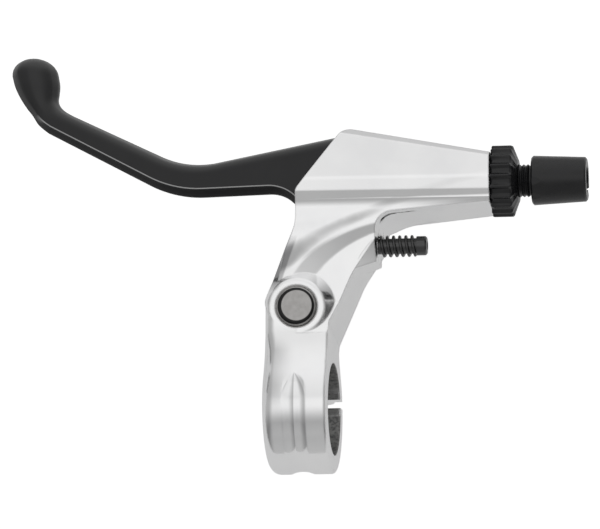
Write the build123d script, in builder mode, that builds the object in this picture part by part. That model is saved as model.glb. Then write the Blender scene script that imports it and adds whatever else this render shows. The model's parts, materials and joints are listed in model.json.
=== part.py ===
"""A flat-bar brake lever for the left hand, in millimetres.

The origin is the centre of the handlebar. X runs along the bar towards its middle, Y points
forward and Z up, along the pivot of the lever.
"""

import os
from math import cos, hypot, radians, sin, sqrt, tan

from build123d import *

os.makedirs("parts", exist_ok=True)

# Handlebar clamp
bar_radius = 11.1
clamp_width = 15.6
clamp_wall = 4.5
clamp_outer = bar_radius + clamp_wall
clamp_half = clamp_width / 2
left_round = 0.6 * clamp_wall
right_round = 0.2 * clamp_wall
upper_blend = 22.0
lower_blend = 12.0
slit_width = 2.0
slit_y = 2.7
groove_half_width = 2.9
groove_depth = 0.65
groove_start = 10.0
groove_sweep = 142.0

# Clamp bolt, under the ring and across the slit
bolt_radius = 2.5
bolt_head_radius = 4.25
bolt_head_height = 5.0
bolt_length = 20.0
bolt_key = 4.0
lug_radius = 5.6
lug_front = 14.0
lug_rear = -7.5
bolt_z = -(bar_radius + 2.4 + bolt_radius)

# Pivot of the lever
pivot_gap = 8.2
pivot_y = clamp_outer + pivot_gap
axle_radius = 4.0
axle_play = 0.03
axle_head_radius = axle_radius + 0.75
axle_head_proud = 0.9
axle_seat_depth = 1.4
axle_head_chamfer = 0.75
head_gap = 0.05
rim_chamfer = 0.5
boss_radius = axle_head_radius + 2.0
boss_flank = 2.4
boss_shoulder = 1.0
bush_wall = 1.0
bush_play = 0.04
bush_outer = axle_radius + bush_play + bush_wall
bush_flange = 0.9
bush_flange_radius = bush_outer + 1.36
hub_radius = bush_outer + 1.76
clip_thick = 0.8
clip_gap = 0.1
clip_radius = axle_radius + 2.3
clip_groove_radius = axle_radius - 0.7

# Cable line and reach screw, ahead of the pivot
cable_arm = 30.95
cable_y = pivot_y + cable_arm
cable_slot = 2.2
cable_hole_radius = 1.5
reach_arm = 15.65
reach_y = pivot_y + reach_arm
reach_face = 18.95
reach_radius = 1.9
reach_boss_radius = reach_radius + 2.5
reach_tip = 9.0
reach_head_radius = reach_radius + 0.45
reach_head_start = reach_face + 9.1
reach_head_end = reach_head_start + 2.5
reach_key = 2.0
wire_radius = 0.36
spring_gap = 0.05
spring_half_turns = 11

# Body of the bracket
neck_half = 9.0
boss_top = neck_half + 1.2
web_floor = neck_half - 1.9
body_base = -neck_half - 0.6
body_top = neck_half + 2.2
draft = 5.0
slot_half = 5.3
slot_margin = 0.5
barrel_end = 46.45
thread_radius = 4.0
thread_play = 0.05
thread_depth = 12.5
sweep_radius = 29.7
sweep_x = 10.5 + 0.578 * sweep_radius
sweep_y = pivot_y + 13.8 - 0.816 * sweep_radius
sweep_run = 3.9
sweep_rise = 1.45

# Lever blade
blade_half = slot_half - 0.3
blade_draft = 17.0
side_round = 3.5
finger_round = 3.0
rear_edge = 0.35
ball_radius = 5.65
ball_x = -66.45
ball_y = cable_y + 27.75
bend_x = 0.42 * ball_x
blade_fore = 5.1
blade_aft = 2.5
root_x = 0.3
arm_half = slot_half - bush_flange - 0.2
stop_x = reach_tip - 0.3
nipple_x = 9.0
nipple_radius = 3.6
nipple_top = 2.5
arm_right = nipple_x + nipple_radius + 1.0

# Cable adjuster and its locknut
nut_radius = 8.65
nut_start = barrel_end + 0.1
nut_rim_end = nut_start + 5.1
nut_end = nut_rim_end + 1.25
nut_cone_radius = thread_radius + 1.2
nut_scallops = 20
scallop_radius = 0.75
knob_start = nut_end + 3.3
knob_end = knob_start + 13.25
knob_radius = 6.0
knob_end_radius = 5.4
knob_flats = 9
knob_chamfer = 0.4
adjuster_end = barrel_end - 8.5
thread_pitch = 1.0
thread_cut = 0.4
thread_rings = 10
housing_radius = 3.05
housing_depth = 9.0
adjuster_slot_turn = 27.0

up_from_base = (Align.CENTER, Align.CENTER, Align.MIN)
# How far a cutter runs past the body
far = 60.0


# Clamp ring with the start of the neck, well rounded on the left and less on the right
with BuildPart() as clamp_ring:
    stub_end = pivot_y + 0.7
    with BuildSketch(Plane.YZ.offset(-clamp_half)) as ring_side:
        Circle(clamp_outer)
        with Locations((stub_end / 2, (boss_top - neck_half) / 2)):
            Rectangle(stub_end, boss_top + neck_half)
        for level, blend in ((boss_top, upper_blend), (-neck_half, lower_blend)):
            meet = Vector(sqrt(clamp_outer**2 - level**2), level)
            fillet([v for v in ring_side.vertices() if (v.center() - meet).length < 0.1], radius=blend)
    extrude(amount=clamp_width)
    for side, rounding in ((0, left_round), (-1, right_round)):
        side_edges = clamp_ring.faces().filter_by(Axis.X).sort_by(Axis.X)[side].edges()
        fillet([e for e in side_edges if e.center().Y < stub_end - 0.1], radius=rounding)

# Plan of the neck, plates and barrel, drafted so that it widens downwards
with BuildPart() as body:
    body_height = body_top - body_base
    with BuildSketch(Plane.XY.offset(body_base)):
        with BuildLine():
            FilletPolyline(
                (barrel_end + 4, cable_y + 5),
                (root_x + 11.1, cable_y + 12.4),
                (root_x - 0.55, cable_y - 2.4),
                (root_x - 0.55, reach_y + 4.95),
                (0.2 - clamp_half, pivot_y + 1.7),
                (0.2 - clamp_half, pivot_y + 0.7),
                (3.5 - clamp_half, pivot_y - 7),
                (3.5 - clamp_half, bar_radius + 0.9),
                (clamp_half - 2.1, bar_radius + 0.9),
                (clamp_half - 1.6, pivot_y - 6.8),
                (reach_face - 6.2, reach_y - 7.4),
                (reach_face - 0.6, reach_y + 0.9),
                (reach_face - 0.6, reach_y + 7.35),
                (barrel_end + 4, cable_y - 5.1),
                radius=[0, 3.5, 2.5, 10, 0, 0, 0, 0, 0, 0, 20, 0.8, 5, 0],
                close=True,
            )
        make_face()
        offset(amount=body_height * tan(radians(draft)), kind=Kind.INTERSECTION)
    extrude(amount=body_height, taper=draft)

# Boss round the axle's head, with a sloping flank
with BuildPart() as boss:
    with BuildSketch(Plane.XZ.offset(-pivot_y)):
        with BuildLine():
            FilletPolyline(
                (0, boss_top),
                (boss_radius, boss_top),
                (boss_radius + boss_flank, web_floor),
                (0, web_floor),
                radius=[0, boss_shoulder, 0, 0],
                close=True,
            )
        make_face()
    revolve(axis=Axis((0, pivot_y, 0), (0, 0, 1)))

# The neck is level with the boss on its right, and ramps down to the web beside it
ramp_top = (pivot_y - 6.5, boss_top)
ramp_foot = (pivot_y + 1.5, web_floor)
with BuildPart() as ramp_room:
    with BuildSketch(Plane.YZ):
        with BuildLine():
            Polyline(
                ramp_top,
                ramp_foot,
                (pivot_y + 10, web_floor),
                (pivot_y + 10, boss_top + 5),
                (pivot_y - 6.5, boss_top + 5),
                close=True,
            )
        make_face()
    extrude(amount=2 * clamp_width)
    add(boss.part, mode=Mode.SUBTRACT)

# What comes off the top: a roof over the barrel, a ledge that fans out, the web beside the pivot
relief_left = -boss_radius - 5.25
relief_right = barrel_end + 5.3
left_fan = ((-31.5, -0.4), (-20.0, -0.2), (-15.1, -0.45), (-9.6, 0))
right_fan = ((-5.7, -0.1), (-5.1, -0.05), (-4.8, -0.03), (-4.5, 0))
left_roof = ((-4.9, 0), (-3.05, 1.3), (0.15, 1.7), (15.15, 0.7))
right_roof = ((-4.05, 0), (-3.05, 0.6), (0.15, 1.0), (4.25, 0.8))
left_ledge = neck_half + 0.4
right_ledge = thread_radius + 2.9
chamfer_drop = 5.0


def along_relief(left, right, x):
    """A value between the two end sections of the relief."""
    return left + (right - left) * (x - relief_left) / (relief_right - relief_left)


with BuildPart() as relief:
    for x, ledge, fan, roof in (
        (relief_left, left_ledge, left_fan, left_roof),
        (relief_right, right_ledge, right_fan, right_roof),
    ):
        fan_points = [(cable_y + y, ledge + z) for y, z in fan]
        roof_points = [(cable_y + y, ledge + z) for y, z in roof]
        front_y, front_z = roof_points[-1]
        with BuildSketch(Plane.YZ.offset(x)):
            with BuildLine():
                Spline(*fan_points, tangents=((1, 0), (1, 0)))
                Polyline(
                    fan_points[-1],
                    *roof_points,
                    (front_y + chamfer_drop, front_z - chamfer_drop),
                    (cable_y + far, front_z - chamfer_drop),
                    (cable_y + far, far),
                    (0, far),
                    (0, fan_points[0][1]),
                    fan_points[0],
                )
            make_face()
    loft(ruled=True)
    # The slope that sweeps from the reach boss down to the pivot
    with Locations((sweep_x, sweep_y, web_floor)):
        Cone(
            sweep_radius,
            sweep_radius + 4 * sweep_run,
            4 * sweep_rise,
            align=up_from_base,
        )
    with BuildSketch(Plane.YZ.offset(-2 * clamp_width)):
        with BuildLine():
            Polyline((0, 0), (ramp_foot[0], 0), ramp_foot, ramp_top, (0, boss_top), close=True)
        make_face()
    extrude(amount=4 * clamp_width, mode=Mode.SUBTRACT)
    # Chamfer down the left edge, from nothing at the waist to full at the pivot
    way = Vector(root_x - 0.75 + clamp_half, reach_arm + 3.25, 0)
    for along, inner, depth in ((-0.2, 3.0, 3.2), (0.98, -0.5, 0.2)):
        edge_x = 0.2 - clamp_half + along * way.X
        edge_y = pivot_y + 1.7 + along * way.Y
        edge_plane = Plane(
            (edge_x, edge_y, left_ledge - 0.4),
            x_dir=(-way.Y, way.X, 0),
            z_dir=way,
        )
        with BuildSketch(edge_plane):
            with BuildLine():
                Polyline((-inner, 0.4), (1.0, -depth), (4.0, 0.4), close=True)
            make_face()
    loft(ruled=True)
    add(boss.part, mode=Mode.SUBTRACT)

with BuildPart() as neck:
    add(clamp_ring.part)
    add(ramp_room.part, mode=Mode.SUBTRACT)


def edge_near(part, x, y, z):
    """The edge whose middle lies nearest to a point."""
    return min(part.edges(), key=lambda e: (e.center() - Vector(x, y, z)).length)


with BuildPart() as bracket:
    add(body.part)
    add(relief.part, mode=Mode.SUBTRACT)
    # Crests and feet of the relief are polished soft
    middle_x = barrel_end / 2 + 2
    for index, rounding in ((2, 4.0), (1, 1.0), (0, 1.2)):
        crest_y = along_relief(left_roof[index][0], right_roof[index][0], middle_x)
        crest_z = along_relief(left_ledge + left_roof[index][1], right_ledge + right_roof[index][1], middle_x)
        fillet(edge_near(bracket, middle_x, cable_y + crest_y, crest_z), radius=rounding)
    for reach, height, rounding in ((sweep_run, sweep_rise, 1.5), (0, 0, 1.2)):
        arc_x = sweep_x - 0.578 * (sweep_radius + reach)
        arc_y = sweep_y + 0.816 * (sweep_radius + reach)
        fillet(edge_near(bracket, arc_x, arc_y, web_floor + height), radius=rounding)
    # The underside rises towards the barrel's end
    with BuildSketch(Plane.XZ.offset(-cable_y - far)):
        with BuildLine():
            Polyline(
                (-far, -neck_half),
                (nipple_x + 3, -neck_half),
                (barrel_end + 13.3, -thread_radius - 3.2),
                (barrel_end + 13.3, -far),
                (-far, -far),
                close=True,
            )
        make_face()
    extrude(amount=cable_y + far, mode=Mode.SUBTRACT)
    # Barrel end, square to the cable
    with Locations((barrel_end + far / 2, cable_y, 0)):
        Box(far, far, far, mode=Mode.SUBTRACT)
    add(neck.part)
    # Round boss for the reach screw
    with Locations(Location((reach_face, reach_y, 0), (0, -90, 0))):
        Cylinder(reach_boss_radius, 7, align=up_from_base)
    # Lugs for the clamp bolt
    with Locations(Location((0, lug_rear, bolt_z), (-90, 0, 0))):
        Cylinder(lug_radius, lug_front - lug_rear, align=up_from_base)
    with Locations((0, (lug_front + lug_rear) / 2, bolt_z + lug_radius / 2)):
        Box(2 * lug_radius, lug_front - lug_rear, lug_radius)

    # Bar bore, slit and bolt hole
    with Locations(Location((0, 0, 0), (0, 90, 0))):
        Cylinder(bar_radius, 4 * clamp_width, mode=Mode.SUBTRACT)
    with Locations((0, slit_y, bolt_z - 2)):
        Box(2 * clamp_width, slit_width, 20, mode=Mode.SUBTRACT)
    with Locations(Location((0, lug_rear - 1, bolt_z), (-90, 0, 0))):
        Cylinder(
            bolt_radius + thread_play,
            lug_front - lug_rear + 2,
            align=up_from_base,
            mode=Mode.SUBTRACT,
        )

    # Groove round the back of the ring, which runs out straight towards the neck
    groove_arc = (groove_half_width**2 + groove_depth**2) / (2 * groove_depth)
    groove_centre = clamp_outer + groove_arc - groove_depth
    lean = radians(groove_start)
    groove_plane = Plane(
        (0, 0, 0), x_dir=(0, sin(lean), cos(lean)), z_dir=(0, cos(lean), -sin(lean))
    )
    with BuildSketch(groove_plane):
        with Locations((groove_centre, 0)):
            Circle(groove_arc)
    revolve(axis=Axis.X, revolution_arc=groove_sweep, mode=Mode.SUBTRACT)
    with BuildSketch(groove_plane):
        with Locations((groove_centre, 0)):
            Circle(groove_arc)
    extrude(amount=clamp_outer, mode=Mode.SUBTRACT)

    # Slot between the plates, open to the left and to the front
    hub_room = hub_radius + slot_margin
    with BuildSketch(Plane.XY.offset(-slot_half)):
        with Locations((0, pivot_y)):
            Circle(hub_room)
        with BuildLine():
            Polyline(
                (-far, pivot_y - hub_room),
                (0, pivot_y - hub_room),
                (hub_room, pivot_y),
                (reach_tip + 1.6, reach_y - 4.5),
                (reach_tip + 1.6, reach_y + 4.5),
                (arm_right + 2.2, cable_y - 4.1),
                (arm_right + 2.2, cable_y + far),
                (-far, cable_y + far),
                close=True,
            )
        make_face()
    extrude(amount=2 * slot_half, mode=Mode.SUBTRACT)

    # Axle hole with a seat for its head and a chamfered rim
    seat_radius = axle_head_radius + 0.05
    with Locations((0, pivot_y, 0)):
        Cylinder(axle_radius + axle_play, 40, mode=Mode.SUBTRACT)
    with Locations((0, pivot_y, boss_top - axle_seat_depth)):
        Cylinder(seat_radius, 5, align=up_from_base, mode=Mode.SUBTRACT)
    with Locations((0, pivot_y, boss_top - rim_chamfer)):
        Cone(
            seat_radius,
            seat_radius + 2 * rim_chamfer,
            2 * rim_chamfer,
            align=up_from_base,
            mode=Mode.SUBTRACT,
        )

    # Adjuster thread, cable hole and the slot the cable drops into
    with Locations(Location((barrel_end - thread_depth, cable_y, 0), (0, 90, 0))):
        Cylinder(
            thread_radius + thread_play,
            thread_depth + 5,
            align=up_from_base,
            mode=Mode.SUBTRACT,
        )
    with Locations(Location((nipple_x, cable_y, 0), (0, 90, 0))):
        Cylinder(cable_hole_radius, barrel_end - nipple_x, align=up_from_base, mode=Mode.SUBTRACT)
    with Locations((nipple_x, cable_y, 0)):
        Box(
            barrel_end,
            cable_slot,
            20,
            align=(Align.MIN, Align.CENTER, Align.MAX),
            mode=Mode.SUBTRACT,
        )
    with Locations((nipple_x, cable_y, -slot_half - 3)):
        Cylinder(nipple_radius + 1.1, 12, mode=Mode.SUBTRACT)

    # Reach screw hole, and a flat face for its spring
    with Locations(Location((stop_x, reach_y, 0), (0, 90, 0))):
        Cylinder(reach_radius + thread_play, 20, align=up_from_base, mode=Mode.SUBTRACT)
    with Locations(Location((reach_face, reach_y, 0), (0, 90, 0))):
        Cylinder(reach_boss_radius, 5, align=up_from_base, mode=Mode.SUBTRACT)
bracket.part.label = "bracket"
export_step(bracket.part, "parts/bracket.step")

# Lever: a drafted blade with a ball end, and the arm that runs between the plates
blade_front = (
    (ball_x, ball_y + 0.62 * ball_radius),
    (ball_x + 0.94 * ball_radius, ball_y - 0.18 * ball_radius),
    (ball_x + 1.17 * ball_radius, ball_y - 1.27 * ball_radius),
    (bend_x, cable_y + blade_fore),
    (root_x + 10.2, cable_y + blade_fore + 7.2),
    (arm_right, cable_y + 8.9),
)
blade_rear = (
    (arm_right, cable_y - 5.1),
    (stop_x - 0.3, cable_y - blade_aft - 8.2),
    (root_x, cable_y - blade_aft - 8.2),
    (root_x, cable_y - blade_aft + 0.7),
    (bend_x - 3.2, cable_y - blade_aft),
    (ball_x + 0.27 * ball_radius, ball_y - 2.14 * ball_radius),
    (ball_x - 0.78 * ball_radius, ball_y - 0.53 * ball_radius),
)
blade_middle = (
    (ball_x, ball_y - 0.45 * ball_radius),
    (ball_x + 1.27 * ball_radius, ball_y - 1.86 * ball_radius),
    (bend_x - 1.2, cable_y + blade_fore - 3.2),
    (bend_x / 2, cable_y + blade_fore - 2.2),
    (arm_right, cable_y + 5.4),
)


def ahead_of_middle(edge):
    """How far forward of the blade's middle line an edge lies."""
    centre = edge.center()
    for (x0, y0), (x1, y1) in zip(blade_middle, blade_middle[1:]):
        if x0 <= centre.X <= x1:
            return centre.Y - y0 - (y1 - y0) * (centre.X - x0) / (x1 - x0)
    return 0.0


def level_edges(part, height):
    """The blade's long edges at one height, above and below its middle plane."""
    return [
        e
        for e in part.edges()
        if abs(abs(e.center().Z) - height) < 0.01
        and abs((e @ 0).Z - (e @ 1).Z) < 0.01
        and ball_x - 0.7 * ball_radius < e.center().X < arm_right - 1.5
        and e.center().Y < ball_y - 0.5 * ball_radius
    ]


with BuildPart() as lever:
    with BuildSketch():
        with BuildLine():
            FilletPolyline(
                *blade_front,
                *blade_rear,
                radius=[0, 0, 4, 22, 2, 0, 0, 0, 0, 8, 28, 12, 0],
                close=True,
            )
        make_face()
    extrude(amount=blade_half, taper=blade_draft)
    mirror(about=Plane.XY)
    # Both sides are rounded along the middle, the finger side along its rims too
    sides = [e for e in level_edges(lever, 0) if e.center().X < root_x - 0.1 or e.center().Y > cable_y]
    fillet(sides, radius=side_round)
    rims = level_edges(lever, blade_half)
    fillet([e for e in rims if ahead_of_middle(e) > 1], radius=finger_round)
    rims = level_edges(lever, blade_half)
    rear_rims = [e for e in rims if ahead_of_middle(e) < -1 and e.center().X < root_x - 0.1]
    fillet(rear_rims, radius=rear_edge)
    # The ball end, drawn out into the blade
    neck_way = (0.31, -0.951, 0)
    neck_start = (0.5 * ball_radius, 0.866 * ball_radius)
    neck_end = (1.3 * ball_radius, 0.62 * ball_radius)
    with BuildSketch(Plane((ball_x, ball_y, 0), x_dir=neck_way, z_dir=(0, 0, 1))):
        with BuildLine():
            ThreePointArc((-ball_radius, 0), (0, ball_radius), neck_start)
            Spline(neck_start, neck_end, tangents=((0.866, -0.5), (1, -0.3)))
            Polyline(neck_end, (neck_end[0], 0), (-ball_radius, 0))
        make_face()
    revolve(axis=Axis((ball_x, ball_y, 0), neck_way))
    with BuildSketch(Plane.XY.offset(-arm_half)):
        with Locations((0, pivot_y)):
            Circle(hub_radius)
        with BuildLine():
            Polyline(
                (0.3 - hub_radius, pivot_y + 1.5),
                (root_x + 0.3, reach_y + 4.5),
                (root_x + 0.3, cable_y - 2.6),
                (root_x + 5.7, cable_y + 5.4),
                (arm_right - 0.6, cable_y + 5.4),
                (arm_right, cable_y - 4.6),
                (stop_x, reach_y + 4.9),
                (stop_x, reach_y - 4.1),
                (hub_radius - 0.2, pivot_y + 1),
                close=True,
            )
        make_face()
    extrude(amount=2 * arm_half)
    with Locations((0, pivot_y, 0)):
        Cylinder(bush_outer + 0.01, 40, mode=Mode.SUBTRACT)
    # Seat for the cable's end, open below, with a slot for the wire
    with Locations((nipple_x, cable_y, nipple_top)):
        Cylinder(
            nipple_radius,
            20,
            align=(Align.CENTER, Align.CENTER, Align.MAX),
            mode=Mode.SUBTRACT,
        )
    with Locations((nipple_x, cable_y, cable_slot / 2)):
        Box(
            nipple_radius + 10,
            cable_slot,
            20,
            align=(Align.MIN, Align.CENTER, Align.MAX),
            mode=Mode.SUBTRACT,
        )
lever.part.label = "lever"
export_step(lever.part, "parts/lever.step")

# Flanged bushes pressed into the arm from above and below
with BuildPart() as bush_upper:
    with Locations((0, pivot_y, arm_half + 0.02)):
        Cylinder(bush_flange_radius, bush_flange, align=up_from_base)
    with Locations((0, pivot_y, 0.2)):
        Cylinder(bush_outer, arm_half, align=up_from_base)
    with Locations((0, pivot_y, 0)):
        Cylinder(axle_radius + bush_play, 40, mode=Mode.SUBTRACT)
bush_upper.part.label = "pivot_bush_upper"
export_step(bush_upper.part, "parts/pivot_bush_upper.step")

with BuildPart() as bush_lower:
    add(bush_upper.part.mirror(Plane.XY))
bush_lower.part.label = "pivot_bush_lower"
export_step(bush_lower.part, "parts/pivot_bush_lower.step")

# Axle, headed at the top and grooved for its clip underneath
with BuildPart() as axle:
    clip_top = -neck_half - clip_gap
    axle_bottom = clip_top - 2.0
    head_base = boss_top - axle_seat_depth + head_gap
    head_top = boss_top + axle_head_proud
    with Locations((0, pivot_y, head_base)):
        Cylinder(axle_head_radius, head_top - head_base, align=up_from_base)
    chamfer(axle.edges().sort_by(Axis.Z)[-1], length=axle_head_chamfer)
    with Locations((0, pivot_y, axle_bottom)):
        Cylinder(axle_radius, head_base - axle_bottom, align=up_from_base)
    chamfer(axle.edges().sort_by(Axis.Z)[0], length=0.5)
    with Locations((0, pivot_y, clip_top - clip_thick - 0.05)):
        Cylinder(axle_radius + 1, clip_thick + 0.1, align=up_from_base, mode=Mode.SUBTRACT)
        Cylinder(clip_groove_radius, clip_thick + 0.1, align=up_from_base)
axle.part.label = "pivot_axle"
export_step(axle.part, "parts/pivot_axle.step")

with BuildPart() as clip:
    with BuildSketch(Plane.XY.offset(clip_top - clip_thick)):
        with Locations((0, pivot_y)):
            Circle(clip_radius)
            Circle(clip_groove_radius + 0.05, mode=Mode.SUBTRACT)
            with PolarLocations(clip_groove_radius + 0.6, 2, 75, 210):
                Circle(1.2, mode=Mode.SUBTRACT)
        with Locations((0, pivot_y - clip_radius)):
            Rectangle(2 * clip_groove_radius * 0.9, 2 * clip_radius, mode=Mode.SUBTRACT)
    extrude(amount=clip_thick)
clip.part.label = "axle_clip"
export_step(clip.part, "parts/axle_clip.step")

# Clamp bolt
with BuildPart() as bolt:
    with Locations(Location((0, lug_front, bolt_z), (-90, 0, 0))):
        Cylinder(bolt_head_radius, bolt_head_height, align=up_from_base)
    chamfer(bolt.edges().sort_by(Axis.Y)[-1], length=0.5)
    with Locations(Location((0, lug_front - bolt_length, bolt_z), (-90, 0, 0))):
        Cylinder(bolt_radius, bolt_length, align=up_from_base)
    chamfer(bolt.edges().sort_by(Axis.Y)[0], length=0.5)
    with BuildSketch(Plane.XZ.offset(-lug_front - bolt_head_height)):
        with Locations((0, bolt_z)):
            RegularPolygon(bolt_key / 2, 6, major_radius=False)
    extrude(amount=0.6 * bolt_head_height, mode=Mode.SUBTRACT)
bolt.part.label = "clamp_bolt"
export_step(bolt.part, "parts/clamp_bolt.step")

# Cable adjuster, hollow and slotted so that the cable lifts out; its bare thread is cut as rings
ring_points = []
for index in range(thread_rings):
    ring_x = knob_start - (thread_rings - index) * thread_pitch
    ring_points.append((ring_x, cable_y + thread_radius))
    ring_points.append((ring_x + thread_pitch / 2, cable_y + thread_radius - thread_cut))

with BuildPart() as adjuster:
    with BuildSketch(Plane.XY):
        with BuildLine():
            Polyline(
                (adjuster_end, cable_y),
                (adjuster_end, cable_y + thread_radius - 0.6),
                (adjuster_end + 0.6, cable_y + thread_radius),
                *ring_points,
                (knob_start, cable_y + thread_radius - thread_cut),
                (knob_start, cable_y + knob_radius - knob_chamfer),
                (knob_start + knob_chamfer, cable_y + knob_radius),
                (knob_end - knob_chamfer, cable_y + knob_end_radius),
                (knob_end, cable_y + knob_end_radius - knob_chamfer),
                (knob_end, cable_y),
                close=True,
            )
        make_face()
    revolve(axis=Axis((0, cable_y, 0), (1, 0, 0)))
    # Shallow flats along the knob, for the fingers
    with BuildSketch(Plane.YZ.offset(knob_start - 0.1)):
        with Locations((cable_y, 0)):
            Circle(4 * knob_radius)
            RegularPolygon(knob_radius - 0.1, knob_flats, major_radius=False, mode=Mode.SUBTRACT)
    extrude(amount=knob_end - knob_start + 1, mode=Mode.SUBTRACT)
    with Locations(Location((knob_end - housing_depth, cable_y, 0), (0, 90, 0))):
        Cylinder(housing_radius, housing_depth + 1, align=up_from_base, mode=Mode.SUBTRACT)
    with Locations(Location((adjuster_end - 1, cable_y, 0), (0, 90, 0))):
        Cylinder(cable_hole_radius, knob_end - adjuster_end, align=up_from_base, mode=Mode.SUBTRACT)
    turn = radians(adjuster_slot_turn)
    slot_centre = ((adjuster_end + knob_end) / 2, cable_y - 10 * sin(turn), -10 * cos(turn))
    with Locations(Location(slot_centre, (-adjuster_slot_turn, 0, 0))):
        Box(knob_end, cable_slot, 20, mode=Mode.SUBTRACT)
adjuster.part.label = "cable_adjuster"
export_step(adjuster.part, "parts/cable_adjuster.step")

with BuildPart() as locknut:
    with BuildSketch(Plane.XY):
        with BuildLine():
            Polyline(
                (nut_start, cable_y),
                (nut_start, cable_y + nut_radius - 0.7),
                (nut_start + 0.7, cable_y + nut_radius),
                (nut_rim_end, cable_y + nut_radius),
                (nut_end, cable_y + nut_cone_radius),
                (nut_end, cable_y),
                close=True,
            )
        make_face()
    revolve(axis=Axis((0, cable_y, 0), (1, 0, 0)))
    with Locations(Location((nut_start - 1, cable_y, 0), (0, 90, 0))):
        Cylinder(thread_radius + thread_play, 20, align=up_from_base, mode=Mode.SUBTRACT)
        with PolarLocations(nut_radius + scallop_radius * 0.35, nut_scallops):
            Cylinder(scallop_radius, 20, align=up_from_base, mode=Mode.SUBTRACT)
    with Locations((nut_start, cable_y, -10)):
        Box(20, cable_slot, 20, mode=Mode.SUBTRACT)
locknut.part.label = "adjuster_locknut"
export_step(locknut.part, "parts/adjuster_locknut.step")

# Reach screw with a domed tip, and the spring that keeps it from turning
with BuildPart() as reach_screw:
    with Locations(Location((reach_tip + reach_radius, reach_y, 0), (0, 90, 0))):
        Cylinder(
            reach_radius, reach_head_start - reach_tip - reach_radius, align=up_from_base
        )
    with Locations((reach_tip + reach_radius, reach_y, 0)):
        Sphere(reach_radius)
    with Locations(Location((reach_head_start, reach_y, 0), (0, 90, 0))):
        Cylinder(reach_head_radius, reach_head_end - reach_head_start, align=up_from_base)
    chamfer(reach_screw.edges().sort_by(Axis.X)[-1], length=0.4)
    with BuildSketch(Plane.YZ.offset(reach_head_end)):
        with Locations((reach_y, 0)):
            RegularPolygon(reach_key / 2, 6, major_radius=False)
    extrude(amount=-1.6, mode=Mode.SUBTRACT)
reach_screw.part.label = "reach_screw"
export_step(reach_screw.part, "parts/reach_screw.step")

# The coil is a chain of half turns, each a slanted half circle
with BuildPart() as spring:
    coil_radius = reach_radius + spring_gap + wire_radius
    coil_start = reach_face + spring_gap + wire_radius
    coil_end = reach_head_start - spring_gap - wire_radius
    half_pitch = (coil_end - coil_start) / spring_half_turns
    half_chord = hypot(coil_radius, half_pitch / 2)
    with BuildLine() as coil:
        for index in range(spring_half_turns):
            side = (-1) ** index
            x = coil_start + index * half_pitch
            ThreePointArc(
                (x, reach_y + side * coil_radius, 0),
                (x + half_pitch / 2, reach_y, side * half_chord),
                (x + half_pitch, reach_y - side * coil_radius, 0),
            )
    with BuildSketch(Plane((coil_start, reach_y + coil_radius, 0), z_dir=(0, 0, 1))):
        Circle(wire_radius)
    sweep(path=coil.wires()[0])
spring.part.label = "reach_spring"
export_step(spring.part, "parts/reach_spring.step")
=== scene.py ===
"""A flat-bar brake lever over a white floor: its finishes, fine details, light and camera."""

import json
from math import asin, cos, pi, radians, sin

import bmesh
import bpy
from mathutils import Matrix, Vector


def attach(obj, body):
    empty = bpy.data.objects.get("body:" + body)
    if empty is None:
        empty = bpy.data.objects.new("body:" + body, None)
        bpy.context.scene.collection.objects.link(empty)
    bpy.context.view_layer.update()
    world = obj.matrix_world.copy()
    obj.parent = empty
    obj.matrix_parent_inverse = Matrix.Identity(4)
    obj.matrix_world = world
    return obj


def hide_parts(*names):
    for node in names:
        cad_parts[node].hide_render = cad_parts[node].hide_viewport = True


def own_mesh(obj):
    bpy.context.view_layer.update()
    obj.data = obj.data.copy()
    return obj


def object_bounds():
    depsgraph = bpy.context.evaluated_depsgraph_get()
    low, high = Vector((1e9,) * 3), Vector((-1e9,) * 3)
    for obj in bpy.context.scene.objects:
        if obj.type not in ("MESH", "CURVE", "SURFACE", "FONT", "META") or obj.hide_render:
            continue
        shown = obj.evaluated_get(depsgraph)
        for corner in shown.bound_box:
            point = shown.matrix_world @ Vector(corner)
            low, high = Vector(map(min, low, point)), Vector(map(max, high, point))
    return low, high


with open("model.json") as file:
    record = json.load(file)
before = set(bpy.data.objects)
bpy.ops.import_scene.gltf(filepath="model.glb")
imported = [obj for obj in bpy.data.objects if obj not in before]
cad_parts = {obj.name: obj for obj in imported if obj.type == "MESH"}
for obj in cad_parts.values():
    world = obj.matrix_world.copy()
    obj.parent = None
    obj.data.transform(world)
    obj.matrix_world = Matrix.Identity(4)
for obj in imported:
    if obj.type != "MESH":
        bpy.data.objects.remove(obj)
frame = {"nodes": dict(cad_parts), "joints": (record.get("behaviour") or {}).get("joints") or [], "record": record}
cad_box = [list(corner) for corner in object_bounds()]
nodes = frame["nodes"]
joints = {joint["name"]: joint for joint in frame["joints"]}
mounts = {mount["name"]: mount for mount in frame["record"]["mounts"]}

# The photograph's frame and the view that it was taken from
IMAGE_WIDTH, IMAGE_HEIGHT = 600, 529
VIEW_YAW = radians(8.3)
VIEW_PITCH = radians(9.0)
VIEW_DISTANCE = 1.2
PIXELS_PER_METRE = 4144.0
BAR_PIXEL = (302.2, 409.9)
SENSOR_WIDTH = 36.0

# Places on the object, in metres
BAR_RADIUS = mounts["bar_clamp"]["dims"]["r_mm"] / 1000
PIVOT = joints["lever_pull"]["pos_m"]
CABLE_LINE = mounts["housing_seat"]["pos_m"][1]

# Edges that are too small to model, in metres
EDGE_ROUND = 0.00015
BRACKET_EDGE_ROUND = 0.0006

# Copies of CAD meshes are merged within this distance
MERGE_DISTANCE = 0.000002


def metres(place):
    """A place in millimetres as a vector in metres."""
    return Vector(place) / 1000


# Helpers for materials


def new_material(name):
    """A material with its own Principled shader, and its node tree."""
    material = bpy.data.materials.new(name)
    material.use_nodes = True
    tree = material.node_tree
    return material, tree, tree.nodes["Principled BSDF"]


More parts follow.
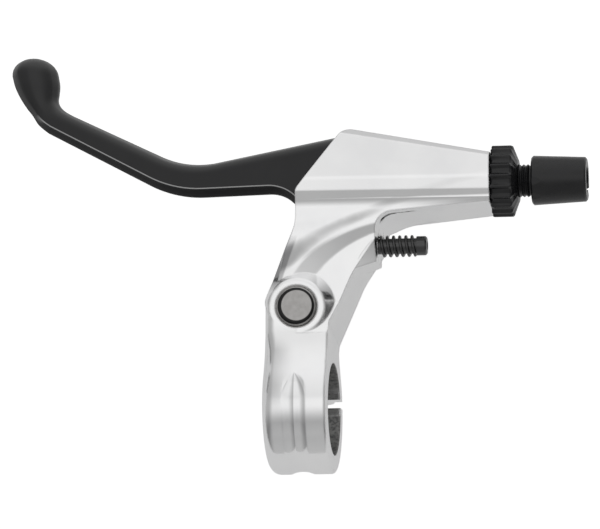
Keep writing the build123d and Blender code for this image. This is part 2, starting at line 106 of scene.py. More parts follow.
def feed(tree, socket, value):
    """An input linked to an output, or set to a value."""
    if isinstance(value, bpy.types.NodeSocket):
        tree.links.new(value, socket)
    else:
        socket.default_value = value


def add_node(tree, kind, **inputs):
    """One node with outputs or values fed to its named inputs."""
    node = tree.nodes.new(kind)
    for name, value in inputs.items():
        feed(tree, node.inputs[name.replace("_", " ")], value)
    return node


def calculate(tree, operation, *values):
    """One math node on sockets and numbers."""
    node = tree.nodes.new("ShaderNodeMath")
    node.operation = operation
    for socket, value in zip(node.inputs, values):
        feed(tree, socket, value)
    return node.outputs["Value"]


def product(tree, first, *others):
    """Sockets and numbers multiplied."""
    for other in others:
        first = calculate(tree, "MULTIPLY", first, other)
    return first


def ramp_between(tree, value, low, high, low_out, high_out, smooth=False):
    """A value stretched from one range to another, and held at its ends."""
    stretch = add_node(
        tree,
        "ShaderNodeMapRange",
        Value=value,
        From_Min=low,
        From_Max=high,
        To_Min=low_out,
        To_Max=high_out,
    )
    stretch.interpolation_type = "SMOOTHSTEP" if smooth else "LINEAR"
    return stretch.outputs["Result"]


def mask_past(tree, *limits):
    """One where each value is past its second limit, nought where one is short of its first."""
    return product(tree, *(ramp_between(tree, *limit, 0, 1) for limit in limits))


def curve_off(tree, value, start, end, height):
    """Nought up to the start, then a curve that steepens until it has the height at the end."""
    share = ramp_between(tree, value, start, end, 0, 1)
    return product(tree, share, share, height)


def arched(tree, value):
    """One where the value is nought, falling in a round arch to nought where it is one."""
    return calculate(tree, "SUBTRACT", 1, product(tree, value, value))


def blend_values(tree, factor, first, second):
    """Two numbers or sockets mixed by a factor."""
    mix = tree.nodes.new("ShaderNodeMix")
    for name, value in (("Factor", factor), ("A", first), ("B", second)):
        feed(tree, mix.inputs[name], value)
    return mix.outputs["Result"]


def blend_colours(tree, factor, first, second):
    """Two colours or colour sockets mixed by a factor."""
    mix = tree.nodes.new("ShaderNodeMix")
    mix.data_type = "RGBA"
    feed(tree, mix.inputs["Factor"], factor)
    for name, colour in (("A", first), ("B", second)):
        feed(tree, mix.inputs[name], (*colour, 1) if isinstance(colour, tuple) else colour)
    return mix.outputs["Result"]


def split_place(tree, vector):
    """The X, Y and Z of a vector socket."""
    outputs = add_node(tree, "ShaderNodeSeparateXYZ", Vector=vector).outputs
    return outputs["X"], outputs["Y"], outputs["Z"]


def object_place(tree):
    """The Object coordinates."""
    return tree.nodes.new("ShaderNodeTexCoord").outputs["Object"]


# Effects that finishes share, as node groups


def new_group(name, vectors, numbers, results):
    """A node group with vectors and numbers going in and numbers coming out, and its sockets."""
    group = bpy.data.node_groups.new(name, "ShaderNodeTree")
    for names, way, kind in (
        (vectors, "INPUT", "NodeSocketVector"),
        (numbers, "INPUT", "NodeSocketFloat"),
        (results, "OUTPUT", "NodeSocketFloat"),
    ):
        for socket_name in names:
            group.interface.new_socket(socket_name, in_out=way, socket_type=kind)
    entry = group.nodes.new("NodeGroupInput").outputs
    leave = group.nodes.new("NodeGroupOutput").inputs
    return group, entry, leave


def place_group(tree, group, **inputs):
    """The outputs of a node group on Object coordinates, with values on its other inputs."""
    node = tree.nodes.new("ShaderNodeGroup")
    node.node_tree = group
    for name, value in inputs.items():
        node.inputs[name.replace("_", " ")].default_value = value
    tree.links.new(object_place(tree), node.inputs["Vector"])
    return node.outputs


# The two noises of the fine surface: the input with the scale, the detail, and the result
FINE_NOISES = (("Patch Scale", 3.0, "Patches"), ("Grain Scale", 2.0, "Grain"))
NOISE_ROUGHNESS = 0.55


def fine_surface_group():
    """Noise at two scales, as a smooth mask and as a height for bump."""
    group, entry, leave = new_group(
        "fine_surface", ("Vector",), ("Patch Scale", "Grain Scale"), ("Patches", "Grain")
    )
    for scale_name, detail, result in FINE_NOISES:
        noise = add_node(
            group,
            "ShaderNodeTexNoise",
            Vector=entry["Vector"],
            Scale=entry[scale_name],
            Detail=detail,
            Roughness=NOISE_ROUGHNESS,
        )
        group.links.new(noise.outputs["Fac"], leave[result])
    return group


def round_mask_group():
    """Nought near a line, one away from it: the line runs through Centre, square to Across."""
    group, entry, leave = new_group(
        "round_mask", ("Vector", "Centre", "Across"), ("Inner", "Outer"), ("Mask",)
    )
    last = entry["Vector"]
    for operation, name in (("SUBTRACT", "Centre"), ("MULTIPLY", "Across")):
        step = group.nodes.new("ShaderNodeVectorMath")
        step.operation = operation
        group.links.new(last, step.inputs[0])
        group.links.new(entry[name], step.inputs[1])
        last = step.outputs["Vector"]
    length = group.nodes.new("ShaderNodeVectorMath")
    length.operation = "LENGTH"
    group.links.new(last, length.inputs[0])
    mask = ramp_between(group, length.outputs["Value"], entry["Inner"], entry["Outer"], 0, 1)
    group.links.new(mask, leave["Mask"])
    return group


# Soft forms of the bracket's upper side, in metres: from and to along an axis, and a height
STEP_HOLLOW = (0.0476, 0.0500, 0.00045)
NECK_CROWN = (0.0005, -0.0040, -0.0009)
CLAMP_CROWN = (0.0010, -0.0070, -0.0018)

# Where those forms show: from and to along Y or Z
PLATES_REAR = (0.030, 0.034)
PLATES_TOP = (0.0060, 0.0066)
CLAMP_FRONT = (0.018, 0.013)
CLAMP_TO_PLATES = (0.0180, 0.0182)
UPPER_SIDE = (0.0, 0.004)

# How strongly the clamp's crown shows: from and to along Y, and the strength at each
CLAMP_STRENGTH = (-0.004, 0.004, 0.15, 0.9)

# The fan's streak: its line rises from its foot and bends, and it narrows away from the neck
FAN_FOOT = 0.0376
FAN_RISE = 0.60
FAN_BEND = 4.6
FAN_NARROW = 0.0009
FAN_SPREAD = 0.0026
FAN_FADE = 0.0133
FAN_SLOPE = 0.21

# How the streak's bank fades away from the neck and grows on it: from and to along X, and factors
FAN_FAR_FADE = (0.012, 0.030, 1, 0.2)
FAN_NECK_GAIN = (0.011, -0.001, 1, 2.6)


def fan_height(group, x, y):
    """The bank along the fan's streak."""
    fade = calculate(group, "EXPONENT", product(group, x, -1 / FAN_FADE))
    rise = calculate(group, "SUBTRACT", FAN_RISE, product(group, x, FAN_BEND))
    line = calculate(group, "ADD", FAN_FOOT, product(group, x, rise))
    width = calculate(group, "ADD", FAN_NARROW, product(group, fade, FAN_SPREAD))
    across = calculate(group, "DIVIDE", calculate(group, "SUBTRACT", y, line), width)
    return product(
        group,
        ramp_between(group, across, -1, 1, 0, FAN_SLOPE, smooth=True),
        width,
        ramp_between(group, x, *FAN_FAR_FADE, smooth=True),
        ramp_between(group, x, *FAN_NECK_GAIN),
    )


def forged_form_group():
    """Height of the soft forms: under the step, along the fan, and beside neck and clamp."""
    group, entry, leave = new_group("forged_form", ("Vector",), (), ("Height", "Mask"))
    x, y, z = split_place(group, entry["Vector"])
    plates = calculate(group, "ADD", curve_off(group, y, *STEP_HOLLOW), fan_height(group, x, y))
    plates = calculate(group, "ADD", plates, curve_off(group, x, *NECK_CROWN))
    clamp = curve_off(group, x, *CLAMP_CROWN)
    ahead = mask_past(group, (y, *CLAMP_TO_PLATES))
    group.links.new(blend_values(group, ahead, clamp, plates), leave["Height"])
    on_plates = mask_past(group, (y, *PLATES_REAR), (z, *PLATES_TOP))
    on_clamp = product(
        group,
        mask_past(group, (y, *CLAMP_FRONT), (z, *UPPER_SIDE)),
        ramp_between(group, y, *CLAMP_STRENGTH),
    )
    group.links.new(calculate(group, "MAXIMUM", on_plates, on_clamp), leave["Mask"])
    return group


# The clamp's groove, in metres: where its pointed end starts and closes, the share of its width
# that is left there, and where its fill ends
GROOVE_HALF_WIDTH = 0.0029
GROOVE_POINT = (0.0005, 0.0074)
GROOVE_POINT_SHARE = 0.001
GROOVE_FILL = 0.00045
GROOVE_FILL_END = (0.0015, 0.0050)
RIDGE_SLOPE = 0.085


def clamp_ridges_group():
    """Height in the clamp's groove: two hollows and a ridge between them, with a pointed end."""
    group, entry, leave = new_group("clamp_ridges", ("Vector",), (), ("Height", "Mask"))
    x, y, z = split_place(group, entry["Vector"])
    aside = calculate(group, "ABSOLUTE", x)
    point = arched(group, ramp_between(group, y, *GROOVE_POINT, 0, 1))
    share = calculate(group, "ADD", point, GROOVE_POINT_SHARE)
    half_width = product(group, share, GROOVE_HALF_WIDTH)
    across = ramp_between(group, calculate(group, "DIVIDE", aside, half_width), 0, 1, -1, 1)
    hollows = product(group, arched(group, across), half_width, -RIDGE_SLOPE)
    fill = product(
        group,
        arched(group, ramp_between(group, aside, 0, GROOVE_HALF_WIDTH, 0, 1)),
        ramp_between(group, y, *GROOVE_FILL_END, GROOVE_FILL, 0),
    )
    group.links.new(calculate(group, "ADD", hollows, fill), leave["Height"])
    group.links.new(mask_past(group, (z, *UPPER_SIDE)), leave["Mask"])
    return group


FINE_SURFACE = fine_surface_group()
ROUND_MASK = round_mask_group()
FORGED_FORM = forged_form_group()
CLAMP_RIDGES = clamp_ridges_group()


# Finishes


def rounded_edges(tree, radius=EDGE_ROUND):
    """The surface's normal, with its edges rounded."""
    return add_node(tree, "ShaderNodeBevel", Radius=radius).outputs["Normal"]


def bend_normal(tree, normal, height, strength, depth):
    """A normal bent by a height."""
    bump = add_node(
        tree, "ShaderNodeBump", Strength=strength, Distance=depth, Height=height, Normal=normal
    )
    return bump.outputs["Normal"]


# Noise values between which the patches change their colour and their roughness
COLOUR_CHANGE = (0.35, 0.65)
ROUGHNESS_CHANGE = (0.3, 0.7)


def surface_looks(
    tree, shader, normal, colours, roughness, patch_scale, grain_scale, grain_depth, grain_strength
):
    """Colour and roughness that vary in patches, as sockets, and a fine grain on the normal."""
    surface = place_group(tree, FINE_SURFACE, Patch_Scale=patch_scale, Grain_Scale=grain_scale)
    patches = surface["Patches"]
    colour = blend_colours(tree, mask_past(tree, (patches, *COLOUR_CHANGE)), *colours)
    rough = ramp_between(tree, patches, *ROUGHNESS_CHANGE, *roughness)
    normal = bend_normal(tree, normal, surface["Grain"], grain_strength, grain_depth)
    tree.links.new(normal, shader.inputs["Normal"])
    return colour, rough


def plain_finish(name, specular, **looks):
    """A material with one finish all over."""
    material, tree, shader = new_material(name)
    shader.inputs["Specular IOR Level"].default_value = specular
    colour, rough = surface_looks(tree, shader, rounded_edges(tree), **looks)
    tree.links.new(colour, shader.inputs["Base Color"])
    tree.links.new(rough, shader.inputs["Roughness"])
    return material


# The neck's flank with painted shade: how its edge leans, where it lies, how soft it is, and its ends
FLANK_LEAN = 0.345
FLANK_EDGE = -0.0145
FLANK_SOFT = 0.0006
FLANK_FRONT = (0.0415, 0.0385)
FLANK_REAR = (0.0275, 0.0300)
FLANK_FOOT = (0.0, 0.002)
FLANK_STRENGTH = 0.75
FLANK_SHADE_GREY = (0.33, 0.33, 0.335)

# The bore: where its finish ends past the bar, its mottled greys, and its roughness
BORE_END = (0.00005, 0.00015)
BORE_GREYS = ((0.2, 0.2, 0.2), (0.42, 0.42, 0.41))
BORE_ROUGHNESS = 0.55

# The bright lip of the clamp's slit: from and to along Y and Z, and how bright it is
LIP_REAR = (-0.0004, 0.0002)
LIP_TOP = (-0.009, -0.010)
LIP_STRENGTH = 0.8


def polished_aluminium():
    """Bright outside, with forged forms and painted shade on one flank, and dull and mottled in the bore."""
    material, tree, shader = new_material("polished_aluminium")
    shader.inputs["Metallic"].default_value = 1.0
    outside = place_group(
        tree,
        ROUND_MASK,
        Centre=(0, 0, 0),
        Across=(0, 1, 1),
        Inner=BAR_RADIUS + BORE_END[0],
        Outer=BAR_RADIUS + BORE_END[1],
    )["Mask"]
    normal = rounded_edges(tree, BRACKET_EDGE_ROUND)
    for group in (FORGED_FORM, CLAMP_RIDGES):
        form = place_group(tree, group)
        strength = product(tree, form["Mask"], outside)
        normal = bend_normal(tree, normal, form["Height"], strength, depth=1.0)
    colour, rough = surface_looks(
        tree,
        shader,
        normal,
        colours=((0.86, 0.86, 0.865), (0.9, 0.9, 0.9)),
        roughness=(0.09, 0.14),
        patch_scale=90,
        grain_scale=900,
        grain_depth=0.00002,
        grain_strength=0.05,
    )
    x, y, z = split_place(tree, object_place(tree))
    flank = calculate(tree, "SUBTRACT", x, product(tree, y, FLANK_LEAN))
    flank = product(
        tree,
        ramp_between(
            tree, flank, FLANK_EDGE + FLANK_SOFT, FLANK_EDGE, 0, FLANK_STRENGTH, smooth=True
        ),
        mask_past(tree, (y, *FLANK_FRONT), (y, *FLANK_REAR), (z, *FLANK_FOOT)),
    )
    # Painted shade: the neck's flank is blended towards a darker grey
    colour = blend_colours(tree, flank, colour, FLANK_SHADE_GREY)
    lip = mask_past(tree, (y, *LIP_REAR), (z, *LIP_TOP))
    bright = calculate(tree, "MAXIMUM", outside, product(tree, lip, LIP_STRENGTH))
    mottle = place_group(tree, FINE_SURFACE, Patch_Scale=1400, Grain_Scale=9000)["Patches"]
    bore = blend_colours(tree, mask_past(tree, (mottle, *COLOUR_CHANGE)), *BORE_GREYS)
    tree.links.new(blend_colours(tree, bright, bore, colour), shader.inputs["Base Color"])
    tree.links.new(blend_values(tree, bright, BORE_ROUGHNESS, rough), shader.inputs["Roughness"])
    return material


# Where the lever's coat changes along Y: from and to
BALL_START = (0.0705, 0.0775)
REAR_LINE_END = (0.0735, 0.0715)

# Where it changes with how far the surface faces up or ahead: from and to
FRONT_RIM_UP = (0.99, 0.6)
FRONT_RIM_AHEAD = (0.05, 0.5)
REAR_LINE_FOOT_UP = (0.33, 0.42)
REAR_LINE_TOP_UP = (0.99, 0.95)
REAR_LINE_AHEAD = (-0.1, -0.2)
REAR_WALL_UP = (0.8, 0.3)
REAR_WALL_AHEAD = (0.0, -0.3)

# The coat there: a painted sheen on the ball, a painted highlight on the front rim, a pale grey line along the
# rear rim, duller on the rear wall
BALL_PAINTED_SHEEN = (0.024, 0.024, 0.025)
FRONT_RIM_HIGHLIGHT = (0.06, 0.06, 0.06)
REAR_LINE_GREY = (0.5, 0.5, 0.5)
REAR_LINE_ROUGHNESS = 0.45
COAT_SPECULAR = 0.35
REAR_WALL_SPECULAR = 0.02


def black_lever_coat():
    """Satin black, with a painted sheen on the ball, a painted highlight on the front rim, and a grey line along
    the rear rim of the blade.
    """
    material, tree, shader = new_material("black_lever_coat")
    shader.inputs["Specular IOR Level"].default_value = COAT_SPECULAR
    colour, rough = surface_looks(
        tree,
        shader,
        rounded_edges(tree),
        colours=((0.011, 0.011, 0.012), (0.015, 0.015, 0.016)),
        roughness=(0.28, 0.36),
        patch_scale=120,
        grain_scale=5000,
        grain_depth=0.00002,
        grain_strength=0.15,
    )
    place = tree.nodes.new("ShaderNodeTexCoord").outputs
    _, ahead, up = split_place(tree, place["Normal"])
    _, forward, _ = split_place(tree, place["Object"])
    ball = ramp_between(tree, forward, *BALL_START, 0, 1, smooth=True)
    front_rim_highlight = mask_past(tree, (up, *FRONT_RIM_UP), (ahead, *FRONT_RIM_AHEAD))
    rear_line = mask_past(
        tree, (up, *REAR_LINE_FOOT_UP), (up, *REAR_LINE_TOP_UP), (ahead, *REAR_LINE_AHEAD), (forward, *REAR_LINE_END)
    )
    rear_wall = mask_past(tree, (up, *REAR_WALL_UP), (ahead, *REAR_WALL_AHEAD))
    # Painted sheen makes the ball paler and a painted highlight lightens the front rim; the rear rim gets a pale
    # grey line
    for mask, paler in ((ball, BALL_PAINTED_SHEEN), (front_rim_highlight, FRONT_RIM_HIGHLIGHT), (rear_line, REAR_LINE_GREY)):
        colour = blend_colours(tree, mask, colour, paler)
    specular = blend_values(tree, rear_wall, COAT_SPECULAR, REAR_WALL_SPECULAR)
    tree.links.new(colour, shader.inputs["Base Color"])
    tree.links.new(blend_values(tree, rear_line, rough, REAR_LINE_ROUGHNESS), shader.inputs["Roughness"])
    tree.links.new(specular, shader.inputs["Specular IOR Level"])
    return material


# The axle's head: its disc, the chamfer round it with painted shade, and how soft their edges are
AXLE_DISC_CENTRE = (0.0002, 0.0239, 0.0)
AXLE_DISC_RADIUS = 0.0036
AXLE_DISC_SOFT = 0.00015
AXLE_RING_RADIUS = 0.0044
AXLE_RING_SOFT = 0.0001
CHAMFER_PAINTED_SHADE = (0.03, 0.03, 0.03)


def satin_steel():
    """Satin grey, with painted shade on the chamfer round the axle's head."""
    material, tree, shader = new_material("satin_steel")
    shader.inputs["Metallic"].default_value = 1.0
    colour, rough = surface_looks(
        tree,
        shader,
        rounded_edges(tree),
        colours=((0.4, 0.39, 0.38), (0.5, 0.49, 0.48)),
        roughness=(0.36, 0.48),
        patch_scale=700,
        grain_scale=6000,
        grain_depth=0.00002,
        grain_strength=0.3,
    )
    past_disc = place_group(
        tree,
        ROUND_MASK,
        Centre=AXLE_DISC_CENTRE,
        Across=(1, 1, 0),
        Inner=AXLE_DISC_RADIUS,
        Outer=AXLE_DISC_RADIUS + AXLE_DISC_SOFT,
    )["Mask"]
    within_ring = place_group(
        tree,
        ROUND_MASK,
        Centre=PIVOT,
        Across=(1, 1, 0),
        Inner=AXLE_RING_RADIUS + AXLE_RING_SOFT,
        Outer=AXLE_RING_RADIUS,
    )["Mask"]
    chamfer = product(tree, past_disc, within_ring)
    # Painted shade: the chamfer round the axle's head is blended to near black
    colour = blend_colours(tree, chamfer, colour, CHAMFER_PAINTED_SHADE)
    tree.links.new(colour, shader.inputs["Base Color"])
    tree.links.new(rough, shader.inputs["Roughness"])
    return material


FINISHES = {
    "polished_aluminium": polished_aluminium(),
    "black_lever": black_lever_coat(),
    "satin_steel": satin_steel(),
    "black_steel": plain_finish(
        "black_oxide_steel",
        specular=0.9,
        colours=((0.008, 0.008, 0.008), (0.016, 0.016, 0.016)),
        roughness=(0.14, 0.24),
        patch_scale=400,
        grain_scale=6000,
        grain_depth=0.00002,
        grain_strength=0.2,
    ),
    "adjuster_resin": plain_finish(
        "black_resin",
        specular=0.4,
        colours=((0.008, 0.008, 0.009), (0.012, 0.012, 0.013)),
        roughness=(0.22, 0.34),
        patch_scale=300,
        grain_scale=5000,
        grain_depth=0.00003,
        grain_strength=0.2,
    ),
    "bush_resin": plain_finish(
        "bush_resin",
        specular=0.5,
        colours=((0.04, 0.04, 0.04), (0.055, 0.055, 0.055)),
        roughness=(0.4, 0.5),
        patch_scale=300,
        grain_scale=5000,
        grain_depth=0.00002,
        grain_strength=0.2,
    ),
}
for part in frame["record"]["subparts"]:
    node = nodes[part["node"]]
    for index in range(len(node.data.materials)):
        node.data.materials[index] = FINISHES[part["material_slot"]]


# Fine details


def coil_spring():
    """The spring of the reach screw as a smooth copy fixed to the bracket; the real one shortens as the screw
    turns in.
    """
    mesh = nodes["reach_spring"].data.copy()
    shape = bmesh.new()
    shape.from_mesh(mesh)
    bmesh.ops.remove_doubles(shape, verts=shape.verts, dist=MERGE_DISTANCE)
    bmesh.ops.recalc_face_normals(shape, faces=shape.faces)
    shape.to_mesh(mesh)
    shape.free()
    coil = bpy.data.objects.new("reach_spring_coil", mesh)
    bpy.context.scene.collection.objects.link(coil)
    for polygon in mesh.polygons:
        polygon.use_smooth = True
    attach(coil, "bracket")
    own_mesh(coil)
    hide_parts("reach_spring")


def add_piece(name, shape, body, slot, sharp_angle):
    """A piece of the object from a bmesh, with smooth shading between its sharp edges."""
    mesh = bpy.data.meshes.new(name)
    bmesh.ops.recalc_face_normals(shape, faces=shape.faces)
    shape.to_mesh(mesh)
    shape.free()
    if "custom_normal" in mesh.attributes:
        mesh.attributes.remove(mesh.attributes["custom_normal"])
    mesh.shade_smooth()
    mesh.set_sharp_from_angle(angle=radians(sharp_angle))
    mesh.materials.append(FINISHES[slot])
    piece = bpy.data.objects.new(name, mesh)
    bpy.context.scene.collection.objects.link(piece)
    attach(piece, body)
    return piece


def join_rings(shape, rings, closed):
    """Faces between rings of vertices, one after another."""
    for first, second in zip(rings, rings[1:]):
        count = len(first)
        for index in range(count if closed else count - 1):
            after = (index + 1) % count
            shape.faces.new((first[index], first[after], second[after], second[index]))


def between_sections(sections, step):
    """A section on the smooth curve through the sections; step counts along them."""
    index = min(int(step), len(sections) - 2)
    share = step - index
    before = sections[max(index - 1, 0)]
    here, there = sections[index], sections[index + 1]
    after = sections[min(index + 2, len(sections) - 1)]
    values = []
    for a, b, c, d in zip(before, here, there, after):
        cubic = -a + 3 * b - 3 * c + d
        square = 2 * a - 5 * b + 4 * c - d
        values.append(0.5 * (2 * b + (c - a) * share + square * share**2 + cubic * share**3))
    return values


# Sections of the blade's end, in mm and degrees: middle X and Y, turn, half width, half height, and
# how round each is
BULB = (
    (-56.90, 70.17, 33.7, 3.73, 5.00, 0.0),
    (-59.41, 71.71, 32.4, 3.68, 5.00, 0.0),
    (-61.79, 73.31, 26.8, 3.62, 5.00, 0.3),
    (-63.21, 75.02, 18.4, 3.58, 5.02, 0.6),
    (-64.28, 76.67, 12.5, 4.00, 5.10, 0.85),
    (-65.16, 78.99, 3.5, 4.93, 5.30, 1.0),
    (-65.67, 81.31, 1.0, 5.57, 5.55, 1.0),
    (-66.19, 83.77, 0.3, 5.70, 5.65, 1.0),
)
BULB_CUT = 1
BULB_TIP = (-66.73, 88.2)
BULB_STEPS = 4
BULB_CAP_STEPS = 9


def bulb_sections():
    """The sections from the cut through the blade to near the tip."""
    steps = BULB_STEPS * (len(BULB) - 1 - BULB_CUT)
    sections = [
        between_sections(BULB, BULB_CUT + step / BULB_STEPS) for step in range(1, steps + 1)
    ]
    x, y, turn, half_width, half_height, roundness = BULB[-1]
    for step in range(1, BULB_CAP_STEPS):
        angle = step / BULB_CAP_STEPS * pi / 2
        sections.append(
            (
                x + (BULB_TIP[0] - x) * sin(angle),
                y + (BULB_TIP[1] - y) * sin(angle),
                turn,
                half_width * cos(angle),
                half_height * cos(angle),
                roundness,
            )
        )
    return sections


def boundary_loop(shape):
    """The vertices round the one open edge of a mesh, in order."""
    edges = [edge for edge in shape.edges if edge.is_boundary]
    follow = {}
    for edge in edges:
        for vertex in edge.verts:
            follow.setdefault(vertex, []).append(edge.other_vert(vertex))
    loop = [edges[0].verts[0], edges[0].verts[1]]
    while len(loop) < len(follow):
        loop.append(next(vertex for vertex in follow[loop[-1]] if vertex is not loop[-2]))
    return loop


def smooth_lever():
    """The lever with its blade drawn out into the ball in one smooth form."""
    shape = bmesh.new()
    shape.from_mesh(nodes["lever"].data)
    bmesh.ops.remove_doubles(shape, verts=shape.verts, dist=MERGE_DISTANCE)
    x, y, turn, half_width, half_height, _ = BULB[BULB_CUT]
    middle = metres((x, y, 0))
    across = Vector((cos(radians(turn)), sin(radians(turn)), 0))
    bmesh.ops.bisect_plane(
        shape,
        geom=shape.verts[:] + shape.edges[:] + shape.faces[:],
        dist=MERGE_DISTANCE / 10,
        plane_co=middle,
        plane_no=(-across.y, across.x, 0),
        clear_outer=True,
    )
    loop = boundary_loop(shape)
    outline = []
    for vertex in loop:
        side = (vertex.co - middle).dot(across) * 1000 / half_width
        height = vertex.co.z * 1000 / half_height
        outline.append((side, height, (side**2 + height**2) ** 0.5))
    rings = [loop]
    for x, y, turn, half_width, half_height, roundness in bulb_sections():
        across = (cos(radians(turn)), sin(radians(turn)))
        ring = []
        for side, height, reach in outline:
            share = (1 - roundness) + roundness / reach
            out = half_width * side * share
            place = (x + out * across[0], y + out * across[1], half_height * height * share)
            ring.append(shape.verts.new(metres(place)))
        rings.append(ring)
    join_rings(shape, rings, closed=True)
    tip = shape.verts.new(metres((*BULB_TIP, 0)))
    for index, vertex in enumerate(rings[-1]):
        shape.faces.new((vertex, rings[-1][(index + 1) % len(rings[-1])], tip))
    lever = add_piece("lever_smooth", shape, "lever", "black_lever", sharp_angle=32)
    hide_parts("lever")


# Profile of the locknut: X and radius in mm, how much the scallops cut it, and how far they push it
# along X
NUT_PROFILE = (
    (46.55, 4.05, 0.0, 0.0),
    (46.55, 7.40, 0.0, 0.0),
    (46.55, 8.45, 0.9, 0.9),
    (46.75, 8.72, 1.0, 1.0),
    (51.25, 8.72, 1.0, 0.0),
    (51.60, 8.50, 1.0, 0.0),
    (51.90, 7.70, 0.6, 0.0),
    (52.90, 5.20, 0.0, 0.0),
    (52.90, 4.05, 0.0, 0.0),
)
NUT_SLOT_HALF = 1.1
NUT_SCALLOPS = 20
NUT_SCALLOP_STEPS = 16
NUT_SCALLOP_DEPTH = 0.6
NUT_EDGE_WAVE = 0.5
NUT_RIB_SHARPNESS = 5


def scalloped_nut():
    """The locknut with broad scallops that also wave its rear edge, and the slot for the cable."""
    shape = bmesh.new()
    steps = NUT_SCALLOP_STEPS * NUT_SCALLOPS
    rings = []
    for x, radius, cut, push in NUT_PROFILE:
        gap = asin(NUT_SLOT_HALF / radius)
        ring = []
        for step in range(steps + 1):
            angle = -pi / 2 + gap + step / steps * (2 * pi - 2 * gap)
            hollow = 1 - abs(cos(angle * NUT_SCALLOPS / 2)) ** NUT_RIB_SHARPNESS
            reach = radius - NUT_SCALLOP_DEPTH * cut * hollow
            along = x + NUT_EDGE_WAVE * push * hollow
            place = (along, reach * cos(angle) + CABLE_LINE * 1000, reach * sin(angle))
            ring.append(shape.verts.new(metres(place)))
        rings.append(ring)
    join_rings(shape, [*rings, rings[0]], closed=False)
    for end in (0, -1):
        shape.faces.new([ring[end] for ring in rings])
    nut = add_piece("locknut_scalloped", shape, "locknut", "adjuster_resin", sharp_angle=40)
    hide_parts("adjuster_locknut")


# Corners of the reach boss, in mm: along the upper plate, on its outer face, and inside the wall
BOSS_CORNERS = (
    ((13.3, 32.9, 7.12), (15.1, 36.6, 7.12), (17.2, 39.3, 7.14), (18.5, 40.6, 7.15)),
    ((18.93, 34.9, 5.6), (18.93, 42.5, 3.0), (18.93, 34.9, -4.5), (18.93, 42.5, -4.5)),
    ((13.6, 33.0, -4.5), (14.0, 42.5, 3.0), (14.0, 42.5, -4.5)),
)
BOSS_EDGE = 0.0003


def reach_boss():
    """The swell of the bracket's wall that carries the reach screw."""
    shape = bmesh.new()
    points = [shape.verts.new(metres(place)) for corners in BOSS_CORNERS for place in corners]
    result = bmesh.ops.convex_hull(shape, input=points)
    bmesh.ops.delete(shape, geom=result["geom_interior"], context="VERTS")
    bmesh.ops.bevel(
        shape,
        geom=shape.edges[:],
        offset=BOSS_EDGE,
        affect="EDGES",
        segments=3,
        profile=0.5,
        material=-1,
        clamp_overlap=True,
    )
    add_piece("reach_boss_swell", shape, "bracket", "polished_aluminium", sharp_angle=14)


# The hollow between the boss and the barrel, in mm: on the wall above, and at the draught's foot
WEB_TOP = (
    (18.6, 42.3),
    (18.64, 43.15),
    (19.03, 44.28),
    (19.92, 45.45),
    (21.34, 46.37),
    (22.87, 46.83),
    (26.9, 47.18),
    (29.6, 47.43),
    (34.6, 47.88),
)
WEB_FOOT = (
    (19.75, 42.5),
    (19.95, 43.0),
    (20.7, 43.3),
    (22.2, 43.9),
    (24.1, 44.72),
    (25.6, 45.2),
    (27.6, 45.7),
    (29.7, 46.06),
    (34.6, 46.9),
)
WEB_HALF_HEIGHT = 6.6
WEB_STEPS = 5


def barrel_web():
    """The soft hollow of the wall between the reach boss and the barrel."""
    shape = bmesh.new()
    rings = []
    for step in range(WEB_STEPS * (len(WEB_TOP) - 1) + 1):
        top = between_sections(WEB_TOP, step / WEB_STEPS)
        foot = between_sections(WEB_FOOT, step / WEB_STEPS)
        corners = (
            (*top, WEB_HALF_HEIGHT),
            (*foot, -WEB_HALF_HEIGHT),
            (*top, -WEB_HALF_HEIGHT),
        )
        rings.append([shape.verts.new(metres(corner)) for corner in corners])
    join_rings(shape, rings, closed=True)
    shape.faces.new(rings[0])
    shape.faces.new(rings[-1])
    add_piece("barrel_web", shape, "bracket", "polished_aluminium", sharp_angle=30)


coil_spring()
smooth_lever()
scalloped_nut()
reach_boss()
barrel_web()


# Studio

FLOOR_GAP = 0.035
FLOOR_HALF_SIZE = 3.0
FLOOR_GREY = 0.7
FLOOR_GLOW = 0.66
FLOOR_MIRRORED_GLOW = 0.2
floor_height = cad_box[0][2] - FLOOR_GAP


def matte_stage(name, shape, grey):
    """A matte piece of the studio from a bmesh, with its node tree and shader."""
    mesh = bpy.data.meshes.new(name)
    shape.to_mesh(mesh)
    shape.free()
    piece = bpy.data.objects.new(name, mesh)
    bpy.context.scene.collection.objects.link(piece)
    material, tree, shader = new_material(name)
    shader.inputs["Base Color"].default_value = (grey, grey, grey, 1)
    shader.inputs["Roughness"].default_value = 0.9
    shader.inputs["Specular IOR Level"].default_value = 0.0
    mesh.materials.append(material)
    return piece, tree, shader


def studio_floor():
    """A wide pale floor, white to the camera, with the object's shadow on it."""
    shape = bmesh.new()
    low = Matrix.Translation((0, 0, floor_height))
    bmesh.ops.create_grid(shape, x_segments=1, y_segments=1, size=FLOOR_HALF_SIZE, matrix=low)
    floor, tree, shader = matte_stage("floor", shape, FLOOR_GREY)
    paths = tree.nodes.new("ShaderNodeLightPath").outputs
    glow = product(tree, paths["Is Camera Ray"], FLOOR_GLOW)
    for name in ("Is Glossy Ray", "Is Transmission Ray"):
        glow = calculate(tree, "MAXIMUM", glow, product(tree, paths[name], FLOOR_MIRRORED_GLOW))
    shader.inputs["Emission Color"].default_value = (1, 1, 1, 1)
    tree.links.new(glow, shader.inputs["Emission Strength"])


# Dark cards beside the object, in metres: middle X and Y, half width, top, and how dark
CARDS = ((0.45, -0.02, 0.22, -0.012, 0.07), (-0.32, 0.15, 0.06, 0.0, 0.3))
CARDS_FACE = Vector((0.0, 0.03, 0.0))


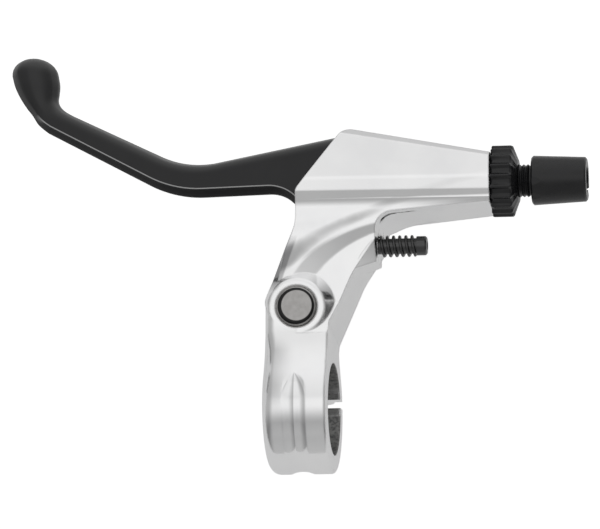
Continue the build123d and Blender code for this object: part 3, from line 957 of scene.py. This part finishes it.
def studio_cards():
    """Upright cards that the flanks of the metal mirror as dark bands."""
    for index, (x, y, half_width, top, grey) in enumerate(CARDS):
        middle = Vector((x, y, 0))
        facing = (CARDS_FACE - middle).normalized()
        along = Vector((-facing.y, facing.x, 0)) * half_width
        shape = bmesh.new()
        corners = []
        for end, height in ((-1, floor_height), (1, floor_height), (1, top), (-1, top)):
            corners.append(shape.verts.new(middle + along * end + Vector((0, 0, height))))
        shape.faces.new(corners)
        card, _, _ = matte_stage(f"card_{index}", shape, grey)
        card.visible_camera = False
        card.visible_shadow = False
        card.visible_diffuse = False


# Brightness of the room by how far forward one looks
ROOM = (
    (-1.0, 0.5),
    (-0.86, 0.46),
    (-0.75, 0.48),
    (-0.6, 0.45),
    (-0.47, 0.42),
    (-0.35, 0.52),
    (-0.24, 0.66),
    (-0.15, 0.79),
    (-0.07, 0.88),
    (0.0, 0.94),
    (0.17, 0.94),
    (0.24, 0.88),
    (0.3, 0.83),
    (0.45, 0.85),
    (0.66, 0.9),
    (0.9, 0.95),
    (1.0, 0.85),
)

# How the room dims to each side: from and to along X, and the brightness from and to
LEFT_DIMMING = (-0.2, -0.85, 1, 0.5)
RIGHT_DIMMING = (0.35, 0.9, 1, 0.4)


def studio_world():
    """A soft room, bright overhead and in front, dim behind and aside, and white to the camera."""
    world = bpy.data.worlds.new("studio")
    bpy.context.scene.world = world
    world.use_nodes = True
    tree = world.node_tree
    aside, ahead, _ = split_place(tree, tree.nodes.new("ShaderNodeTexCoord").outputs["Generated"])
    ramp = tree.nodes.new("ShaderNodeValToRGB")
    stops = ramp.color_ramp.elements
    for index, (position, value) in enumerate(ROOM):
        if index < 2:
            stop = stops[index]
            stop.position = position / 2 + 0.5
        else:
            stop = stops.new(position / 2 + 0.5)
        stop.color = (value, value, value, 1)
    tree.links.new(ramp_between(tree, ahead, -1, 1, 0, 1), ramp.inputs["Fac"])
    light = product(
        tree,
        ramp.outputs["Color"],
        ramp_between(tree, aside, *LEFT_DIMMING, smooth=True),
        ramp_between(tree, aside, *RIGHT_DIMMING, smooth=True),
    )
    paths = tree.nodes.new("ShaderNodeLightPath").outputs
    light = blend_values(tree, paths["Is Camera Ray"], light, 1.0)
    back = tree.nodes["Background"]
    back.inputs["Color"].default_value = (1, 1, 1, 1)
    tree.links.new(light, back.inputs["Strength"])


def photo_camera():
    """The camera of the photograph, worked out from where the bar's centre lies in the picture."""
    data = bpy.data.cameras.new("photo_camera")
    camera = bpy.data.objects.new("photo_camera", data)
    bpy.context.scene.collection.objects.link(camera)
    level = cos(VIEW_PITCH)
    towards = Vector((sin(VIEW_YAW) * level, -sin(VIEW_PITCH), cos(VIEW_YAW) * level))
    right = Vector((0, 1, 0)).cross(towards).normalized()
    up = towards.cross(right)
    aside = (BAR_PIXEL[0] - IMAGE_WIDTH / 2) / PIXELS_PER_METRE
    above = (IMAGE_HEIGHT / 2 - BAR_PIXEL[1]) / PIXELS_PER_METRE
    place = towards * VIEW_DISTANCE - right * aside - up * above
    turn = Matrix((right, up, towards)).transposed().to_4x4()
    camera.matrix_world = Matrix.Translation(place) @ turn
    data.sensor_width = SENSOR_WIDTH
    data.lens = SENSOR_WIDTH * PIXELS_PER_METRE * VIEW_DISTANCE / IMAGE_WIDTH
    data.clip_start = 0.01
    bpy.context.scene.camera = camera


studio_floor()
studio_cards()
studio_world()
photo_camera()
bpy.context.scene.view_settings.view_transform = "Standard"
